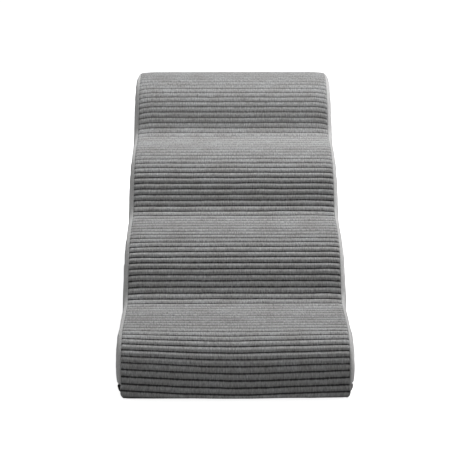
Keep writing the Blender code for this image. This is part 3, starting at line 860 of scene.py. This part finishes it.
# ---- the non-slip base ----
BASE_INSET = HALF_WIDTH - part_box("bottom_panel")[1].x
BASE_ROUND = 0.009
BASE_T = 0.0012
BASE_LIFT = 0.0008
BASE_RIM_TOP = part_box("bottom_panel")[1].z
BASE_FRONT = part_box("bottom_panel")[0].y
BASE_ARC_STEPS = 8
DOT_PITCH = 0.010
DOT_R = 0.0019
DOT_SIDES = 8
DOT_MARGIN = 0.0035
DOT_PROFILE = ((BASE_LIFT + 0.0001, 1.0), (0.0003, 0.86), (0.0, 0.5))  # heights and shares


def base_rings(inset):
    """Rings down one face of the base, from the rim's top to the flat underside."""
    radius = BASE_ROUND - inset
    turns = np.linspace(0.0, pi / 2, BASE_ARC_STEPS)
    insets = BASE_INSET + inset + radius * np.array([0.0, *(1 - np.cos(turns))])
    heights = [BASE_RIM_TOP, *(BASE_LIFT + BASE_ROUND - radius * np.sin(turns))]
    plans = [u_run(across, BASE_FRONT, 0.02)[0] for across in insets]
    count = min(len(plan) for plan in plans)
    for k, plan in enumerate(plans):
        if len(plan) != count:
            far = run_length(plan)
            plans[k] = on_line(np.linspace(0.0, far[-1], count), far, plan)
    return [at_height(plan, z) for plan, z in zip(plans, heights)]


def make_base_cover(material):
    """The black non-slip cloth: a flat sheet turned up into a rim on three sides."""
    outer, inner = base_rings(0.0), base_rings(BASE_T)
    rings = outer + inner[::-1]
    count, layers = len(outer[0]), len(outer)
    bottom, top = (layers - 1) * count, layers * count
    faces = [f for f in swept_faces(rings) if not bottom <= f[0] < top]
    faces.append(list(range(bottom, top)))
    faces.append(list(range(top, top + count))[::-1])
    faces.append([bottom, bottom + count - 1, top + count - 1, top])
    for k in range(layers - 1):
        a, b = k * count, (2 * layers - 1 - k) * count
        for end in (0, count - 1):
            faces.append([a + end, a + count + end, b - count + end, b + end])
    points = np.concatenate(rings)
    piece = mesh_piece("base_cover", (points, faces), material, points[:, :2], EDGE_SMOOTH)
    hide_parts("bottom_panel")
    return piece


def make_grip_dots(material):
    """Staggered silicone dots moulded on the base's underside."""
    inset = BASE_INSET + BASE_ROUND + DOT_MARGIN
    row_pitch = DOT_PITCH * sqrt(3) / 2
    rows = int((BACK_Y - inset - BASE_FRONT - DOT_MARGIN) / row_pitch)
    columns = int(2 * (HALF_WIDTH - inset) / DOT_PITCH)
    stacks = []
    for row in range(rows + 1):
        shift = DOT_PITCH / 4 * (1 if row % 2 else -1)
        y = BASE_FRONT + DOT_MARGIN + row * row_pitch
        for x in (np.arange(columns + 1) - columns / 2) * DOT_PITCH + shift:
            stacks.append(upright(x, y, DOT_R * X_AXIS, DOT_R * Y_AXIS, DOT_SIDES, DOT_PROFILE))
    return mesh_piece("base_grip_dots", closed_stacks(stacks), material)


# ---- the zip ----
TAPE_INSET = HALF_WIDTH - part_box("zip_tape_lower")[1].x
TAPE_T = 0.0006
COIL_OUT = HALF_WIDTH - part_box("zip_coil_lower")[1].x
COIL_T = 0.0016
TOOTH_PITCH = 0.0019
TOOTH_WIDTH = 0.0012
TOOTH_TIP = 0.00065  # from the zip's centre line
TOOTH_END = 0.0034
TOOTH_SIDES = 6
TOOTH_PROFILE = ((TOOTH_TIP, 0.55), (TOOTH_TIP + 0.0004, 1.0), (TOOTH_END - 0.0004, 1.0), (TOOTH_END, 0.6))
METAL_EDGE = 0.00016
METAL_FLAT = 2  # the angles, in degrees, below which faces join, and above which edges round
METAL_SHARP = 25
RIDGE_R = 0.00022
RIDGE_RISES = ((-0.0022, 0.5), (-0.0019, 1.0), (0.0019, 1.0), (0.0022, 0.5))
RIDGE_PROFILE = [(ZIP_Z + rise, share) for rise, share in RIDGE_RISES]
RIDGE_SIDES = 8
RIDGE_COUNT = 5
RIDGE_PITCH = 0.0016
RIDGE_START = 0.003  # from the pull's far end


def make_zip_tape(name, node, material):
    """One woven tape, with a slight wave in its free edge."""
    low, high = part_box(node)[0].z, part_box(node)[1].z
    plan, outward = u_run(TAPE_INSET, ZIP_FRONT, 0.005)
    count, along = len(plan), run_length(plan)
    inner = plan - outward * TAPE_T
    rings = []
    for share, face in ((0.0, plan), (0.33, plan), (0.67, plan), (1.0, plan), (1.0, inner), (0.0, inner)):
        wave = 0.00008 * noise(11, along / 0.02, np.full(count, share * 3))
        rings.append(at_height(face + outward * wave[:, None], low + share * (high - low)))
    ends = [[k * count + end for k in range(len(rings))] for end in (0, count - 1)]
    points = np.concatenate(rings)
    cloth = np.column_stack([np.tile(along, len(rings)), points[:, 2]])
    piece = mesh_piece(name, (points, swept_faces(rings) + ends), material, cloth, EDGE_SMOOTH)
    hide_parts(node)


def make_zip_teeth(name, node, side, material):
    """One side's nylon coil: a row of rounded loops whose heads meet the other side's."""
    plan, outward = u_run(COIL_OUT + COIL_T / 2, ZIP_FRONT + TOOTH_WIDTH, 0.002)
    along = run_length(plan)
    stations = np.arange(0.0 if side > 0 else TOOTH_PITCH / 2, along[-1], TOOTH_PITCH)
    stacks = []
    for middle, out in zip(on_line(stations, along, plan), on_line(stations, along, outward)):
        out /= np.linalg.norm(out)
        across = np.array([-out[1], out[0], 0.0]) * TOOTH_WIDTH / 2
        up = np.array([*out, 0.0]) * COIL_T / 2
        profile = [(ZIP_Z + side * height, share) for height, share in TOOTH_PROFILE]
        stacks.append(upright(*middle, across, up, TOOTH_SIDES, profile))
    piece = mesh_piece(name, closed_stacks(stacks), material, smooth_angle=TOOTH_SMOOTH)
    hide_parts(node)


def soften_metal(shape):
    """Joins the flat parts of a cast piece and rounds its edges."""
    bmesh.ops.remove_doubles(shape, verts=shape.verts, dist=1e-6)
    flat = radians(METAL_FLAT)
    bmesh.ops.dissolve_limit(shape, angle_limit=flat, verts=shape.verts, edges=shape.edges)
    edges = [e for e in shape.edges if len(e.link_faces) == 2]
    round_edges(shape, [e for e in edges if e.calc_face_angle() > radians(METAL_SHARP)], METAL_EDGE, 2)


def make_metal_piece(name, node, body, material):
    """A cast piece: the CAD's own shape with its edges softened."""
    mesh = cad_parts[node].data.copy()
    mesh.name = name
    reshape(mesh, soften_metal)
    piece = add_piece(name, mesh, material, EDGE_SMOOTH, body)
    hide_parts(node)


def make_pull_ridges(material):
    """Low ridges across both faces of the pull, for the fingers."""
    low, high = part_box("zip_pull_tab")
    stacks = []
    for x in (low.x, high.x):
        for y in high.y - RIDGE_START - RIDGE_PITCH * np.arange(RIDGE_COUNT):
            stacks.append(upright(x, y, RIDGE_R * X_AXIS, RIDGE_R * Y_AXIS, RIDGE_SIDES, RIDGE_PROFILE))
    mesh_piece("zip_pull_ridges", closed_stacks(stacks), material, body="zip_pull")


# ---- the front's lower corners ----
TAB_OUT = 0.1988
TAB_IN = 0.1921
TAB_LEAN = 0.0036  # how much further in the tab's lower edge is
TAB_ROUND = 0.0016
GUSSET_T = 0.0008
GUSSET_IN = 0.0004  # from the front edge's side in to the gusset
TAB_POINTS = 11
GUSSET_ROWS = 12
GUSSET_COLUMNS = 8


def two_sided(name, outer, inner, columns, material):
    """A closed piece between two matching grids of points."""
    base = len(outer)
    index = grid_index(base // columns, columns)
    loop = grid_border(index)
    faces = grid_faces(index) + grid_faces(base + index, flip=True)
    faces += loop_faces(loop, [base + i for i in loop])
    points = np.array(outer + inner)
    mesh_piece(name, (points, faces), material, points[:, 1:], PANEL_SMOOTH)


def make_zip_tab(name, side, material):
    """The padded tab that covers one end of the zip at the front corner."""
    floor, top = BASE_RIM_TOP + GAP, PANEL_FLOOR - GAP
    shares = np.linspace(0.0, 1.0, TAB_POINTS)
    outer, inner = [], []
    for rise in shares:
        z = floor + rise * (top - floor)
        front = float(LINE.at(LINE.length_at_height(z, -0.01, 0.05))[0]) + TOP_PANEL_T + GAP
        depth = ZIP_FRONT - GAP - front
        for share in shares:
            edge = min(min(share, 1 - share) * depth, min(rise, 1 - rise) * (top - floor))
            x = TAB_OUT - TAB_LEAN * (1 - rise) ** 2 - TAB_ROUND * rounded(1 - edge / TAB_ROUND)
            outer.append((side * x, front + share * depth, z))
            inner.append((side * TAB_IN, front + share * depth, z))
    two_sided(name, outer, inner, TAB_POINTS, material)


def make_corner_gusset(name, side, material):
    """The plush patch that closes the folded front edge's side below the zip."""
    outer, inner = [], []
    for z in np.linspace(HEM_LIFT + HEM_T + GAP, BASE_RIM_TOP - GAP, GUSSET_ROWS):
        front = float(LINE.at(LINE.length_at_height(z, FOOT_START, 0.01), HEM_T + GAP)[0])
        x = front_half_width(z) - GUSSET_IN
        for y in np.linspace(front, BASE_FRONT - GAP, GUSSET_COLUMNS):
            outer.append((side * x, y, z))
            inner.append((side * (x - GUSSET_T), y, z))
    two_sided(name, outer, inner, GUSSET_COLUMNS, material)


# ---- stitching ----
STITCH_PITCH = 0.0042
STITCH_LENGTH = 0.0031
STITCH_R = 0.00038
STITCH_SIDES = 5
STITCH_PROFILE = ((-0.5, 0.35, -0.6), (-0.32, 1.0, 0.15), (0.32, 1.0, 0.15), (0.5, 0.35, -0.6))
HEM_STITCH_UP = 0.0045  # the side and back hems' stitches, above their lower edges
RIM_STITCH_DOWN = 0.0022


def make_stitches(name, line, outward, material):
    """Thread stitches along a line of points, lying half sunk in the cloth."""
    along = run_length(line)
    stacks = []
    for station in np.arange(STITCH_PITCH, along[-1] - STITCH_PITCH, STITCH_PITCH):
        middle, ahead = on_line([station, station + STITCH_LENGTH / 2], along, line)
        run = (ahead - middle) / np.linalg.norm(ahead - middle)
        out = on_line([station], along, outward)[0]
        out = out - run * (out @ run)
        out /= np.linalg.norm(out)
        beside = np.cross(run, out)
        stacks.append([
            circle(
                middle + run * share * STITCH_LENGTH + out * lift * STITCH_R,
                beside * STITCH_R * thick, out * STITCH_R * thick, STITCH_SIDES,
            )
            for share, thick, lift in STITCH_PROFILE
        ])
    mesh_piece(name, closed_stacks(stacks), material)


def make_hem_stitches(name, grid, out, material):
    """Stitches above the lower edge of a panel's grid, whose columns rise."""
    z = PANEL_FLOOR + HEM_STITCH_UP
    line = np.concatenate([on_line([z], column[:, 2], column) for column in grid.transpose(1, 0, 2)])
    make_stitches(name, line, np.tile(out, (len(line), 1)), material)


# ---- inside the cover ----
LINER_INSET = TOP_PANEL_T + GAP
LINER_SIDE_INSET = SIDE_PANEL_T + 2 * GAP
FOAM_INSET = LINER_INSET + LINER_T + GAP
FOAM_SIDE_INSET = LINER_SIDE_INSET + LINER_T + GAP
FOAM_HALF = HALF_WIDTH - FOAM_SIDE_INSET
FOAM_BACK = BACK_Y - FOAM_SIDE_INSET
CORE_INSET = FOAM_INSET + COMFORT_T + GAP
FOAM_STEP = 0.005
FOAM_EDGE_R = 0.0075  # rounding of the foam's bottom edges
NEAR = 1e-5
CUT_EDGE = 0.001  # how far the foam's cut edges round off
LINER_EDGE = 0.003
ARC_POINTS = 6


def section_prism(name, outline, half, material, edge, low_edge=0.0):
    """A (y, z) outline across the whole width, its side and lower edges rounded."""
    floor = min(z for _, z in outline)
    angles = np.linspace(0.0, pi / 2, ARC_POINTS) if low_edge else [pi / 2]
    right = [(half - low_edge * (1 - sin(a)), floor + low_edge * (1 - cos(a))) for a in angles]
    across = [(-x, lift) for x, lift in right[::-1]] + right
    shell = closed_stacks([[[(x, y, max(z, lift)) for y, z in outline] for x, lift in across]])
    rim_floor = right[-1][1] + NEAR

    def round_rims(shape):
        face_out(shape)
        caps = list(shape.faces)[:2]
        rim = [e for cap in caps for e in cap.edges if max(v.co.z for v in e.verts) > rim_floor]
        round_edges(shape, rim, edge, 3)

    mesh = new_mesh(name, *shell)
    reshape(mesh, round_rims)
    return add_piece(name, mesh, material, EDGE_SMOOTH)


def core_line():
    """The line between the core and the soft layer, from the floor to the back."""
    y, z = LINE.at(np.arange(0.0, TOP_ARC, FOAM_STEP), CORE_INSET)
    kept = (z > FOAM_FLOOR + FOAM_STEP) & (y < FOAM_BACK - FOAM_STEP)
    y, z = y[kept], z[kept]
    lean = (y[1] - y[0]) / (z[1] - z[0])
    return [(y[0] - lean * (z[0] - FOAM_FLOOR), FOAM_FLOOR), *zip(y, z), (FOAM_BACK, z[-1])]


def make_foam_core(material):
    outline = core_line() + [
        (FOAM_BACK - FOAM_EDGE_R * (1 - sin(a)), FOAM_FLOOR + FOAM_EDGE_R * (1 - cos(a)))
        for a in np.linspace(pi / 2, 0.0, ARC_POINTS)
    ]
    name = "core_foam_block"
    piece = section_prism(name, outline, FOAM_HALF, material, CUT_EDGE, FOAM_EDGE_R)
    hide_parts("foam_core")


def make_comfort_layer(material):
    """The soft layer, which thins out under the front edge."""
    lengths = np.arange(FOOT_START, TOP_END, FOAM_STEP / 2)
    thin = HEM_T + GAP
    y, z = LINE.at(lengths, thin + (FOAM_INSET - thin) * ease(lengths, lengths[0], 0.0))
    kept = (z >= FOAM_FLOOR - 1e-6) & (y < FOAM_BACK)
    outer, inner = [*zip(y[kept], z[kept])], [(py - GAP, pz + GAP) for py, pz in core_line()]
    outer[0], inner[0] = (outer[0][0], FOAM_FLOOR), (inner[0][0], FOAM_FLOOR)
    outer.append((FOAM_BACK, outer[-1][1] - GAP))
    inner[-1] = (FOAM_BACK, inner[-1][1])
    name, outline = "comfort_foam_layer", outer + inner[::-1]
    piece = section_prism(name, outline, FOAM_HALF, material, CUT_EDGE, FOAM_EDGE_R)
    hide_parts("foam_comfort_layer")


def make_liner(material):
    """The thin sleeve over the foam, open below."""
    floor = BASE_RIM_TOP + 2 * GAP
    back = BACK_Y - LINER_SIDE_INSET
    y, z = LINE.at(np.arange(0.0, TOP_END, FOAM_STEP), LINER_INSET)
    kept = (z > floor + GAP) & (y < back)
    outline = [(y[kept][0], floor), *zip(y[kept], z[kept]), (back, z[kept][-1] - GAP), (back, floor)]
    half = HALF_WIDTH - LINER_SIDE_INSET
    piece = section_prism("liner_sleeve", outline, half, material, LINER_EDGE)

    def open_below(shape):
        under = [f for f in shape.faces if max(v.co.z for v in f.verts) < floor + NEAR]
        bmesh.ops.delete(shape, geom=under, context="FACES")

    reshape(piece.data, open_below)
    wall = piece.modifiers.new("Wall", "SOLIDIFY")
    wall.thickness = LINER_T
    wall.offset = -1.0
    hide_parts("inner_liner")


# ---- the studio ----
WORLD_RAMP = {"From Min": 0.0, "From Max": 1.0, "To Min": 0.025, "To Max": 0.46}
LIGHTS = {  # place, target, size and power
    "key": ((0.50, 0.94, 2.05), (0.0, 0.0, 0.20), 0.8, 43.0),
    "right_fill": ((1.70, 0.10, 0.25), (0.0, 0.05, 0.15), 0.9, 15.5),
    "left_fill": ((-1.70, 0.10, 0.25), (0.0, 0.05, 0.15), 0.9, 7.5),
    "front_fill": ((0.0, -0.95, 0.06), (0.0, -0.35, 0.05), 0.6, 0.65),
}
CAMERA_BACK = 1.9725  # from the ramp's front edge, level, to the camera
CAMERA_HEIGHT = 1.014
CAMERA_TURN = -0.476  # degrees round the front edge
CAMERA_TILT = 20.0
CAMERA_LENS = 99.97
CAMERA_SHIFT = -0.0012
FLOOR_SIZE = 60.0
BACKDROP_R = 29.0
FLOOR_GLOW = 0.86
BACKDROP_GLOW = 1.0


def area_light(name, place, target, size, power):
    lamp = bpy.data.lights.new(name, "AREA")
    lamp.shape = "DISK"
    lamp.size = size
    lamp.energy = power
    light = link(bpy.data.objects.new(name, lamp))
    light.location = place
    light.rotation_euler = (Vector(target) - Vector(place)).to_track_quat("-Z", "Y").to_euler()
    light.visible_camera = False


def paper(name, glow):
    """White paper that glows, to stay pale where the ramp shades it."""
    finish = Finish(name, 0.9, Emission_Strength=glow, Emission_Color=grey(1.0))
    finish.colour(finish.noise(finish.grain(3)), grey(0.60), grey(0.62))
    return finish.material


def stage_piece(name, mesh_call, glow, **size):
    """A floor or backdrop that throws no light back on the ramp."""
    mesh_call(**size)
    made = bpy.context.object
    made.name = name
    made.data.materials.append(paper(name + "_paper", glow))
    made.visible_diffuse = False
    made.visible_glossy = False
    return made


def make_world():
    """Soft light that is brightest overhead and dark below the horizon."""
    world = bpy.data.worlds.new("studio")
    world.use_nodes = True
    nodes, links = world.node_tree.nodes, world.node_tree.links
    split, ramp = nodes.new("ShaderNodeSeparateXYZ"), nodes.new("ShaderNodeMapRange")
    for socket, value in WORLD_RAMP.items():
        ramp.inputs[socket].default_value = value
    links.new(nodes.new("ShaderNodeTexCoord").outputs["Generated"], split.inputs[0])
    links.new(split.outputs[2], ramp.inputs["Value"])
    nodes["Background"].inputs["Color"].default_value = grey(1.0)
    links.new(ramp.outputs[0], nodes["Background"].inputs["Strength"])
    bpy.context.scene.world = world


def make_camera():
    lens = bpy.data.cameras.new("camera")
    lens.lens = CAMERA_LENS
    lens.shift_x = CAMERA_SHIFT
    camera = link(bpy.data.objects.new("camera", lens))
    turned = radians(CAMERA_TURN)
    across, ahead = CAMERA_BACK * sin(turned), CAMERA_BACK * cos(turned)
    camera.location = (across, FRONT_Y - ahead, CAMERA_HEIGHT)
    camera.rotation_euler = (radians(90.0 - CAMERA_TILT), 0.0, turned)
    bpy.context.scene.camera = camera


def make_studio():
    stage_piece("studio_floor", bpy.ops.mesh.primitive_plane_add, FLOOR_GLOW, size=FLOOR_SIZE)
    sphere = bpy.ops.mesh.primitive_uv_sphere_add
    stage_piece("studio_backdrop", sphere, BACKDROP_GLOW, radius=BACKDROP_R).visible_shadow = False
    make_world()
    for name, values in LIGHTS.items():
        area_light(name, *values)
    bpy.context.scene.view_settings.view_transform = "Standard"
    make_camera()


# ---- the whole ramp ----
def make_base(grip):
    base, dots = make_base_cover(grip), make_grip_dots(rubber())


def make_zip(tape, coil, metal):
    make_zip_tape("zip_upper_tape", "zip_tape_upper", tape)
    make_zip_tape("zip_lower_tape", "zip_tape_lower", tape)
    make_zip_teeth("zip_upper_teeth", "zip_coil_upper", 1.0, coil)
    make_zip_teeth("zip_lower_teeth", "zip_coil_lower", -1.0, coil)
    make_metal_piece("zip_slider", "zip_slider_body", "zip_slider", metal)
    make_metal_piece("zip_pull", "zip_pull_tab", "zip_pull", metal)
    make_pull_ridges(metal)
    for node in ("zip_stop_front", "zip_stop_end"):
        make_metal_piece(node + "_clamp", node, BODY, metal)


def make_all_stitches(left, right, back):
    """The hems' stitches on the side and back covers' grids, and the base's along its rim."""
    grey_thread = thread("grey_thread", 0.30)
    make_hem_stitches("left_hem_stitches", left, (-1.0, 0.0, 0.0), grey_thread)
    make_hem_stitches("right_hem_stitches", right, (1.0, 0.0, 0.0), grey_thread)
    make_hem_stitches("back_hem_stitches", back, (0.0, 1.0, 0.0), grey_thread)
    plan, outward = u_run(BASE_INSET, BASE_FRONT + STITCH_PITCH, 0.004)
    rim, out = at_height(plan, BASE_RIM_TOP - RIM_STITCH_DOWN), at_height(outward, 0.0)
    make_stitches("base_rim_stitches", rim, out, thread("black_thread", 0.04))


def main():
    plush, plain, skin = ribbed_plush(), plain_plush(), side_skin()
    grip = woven("oxford_cloth", 0.012, 0.045, 0.7, 0.0006, 0.0002)
    make_top_cover(plush)
    left = make_side_cover("left_side_cover", "left_side_panel", -1.0, plain, skin)
    right = make_side_cover("right_side_cover", "right_side_panel", 1.0, plain, skin)
    back = make_back_cover(plain)
    make_base(grip)
    make_zip(woven("zip_webbing", 0.014, 0.04, 0.8, 0.0004, 0.00015), nylon(), plated_metal())
    make_zip_tab("zip_end_tab_left", -1.0, grip)
    make_zip_tab("zip_end_tab_right", 1.0, plain)
    make_corner_gusset("corner_gusset_left", -1.0, plush)
    make_corner_gusset("corner_gusset_right", 1.0, plush)
    make_all_stitches(left, right, back)
    make_liner(liner_cloth())
    make_comfort_layer(foam("comfort_foam", (0.80, 0.78, 0.70), 900))
    make_foam_core(foam("core_foam", (0.72, 0.68, 0.54), 700))
    make_studio()


main()
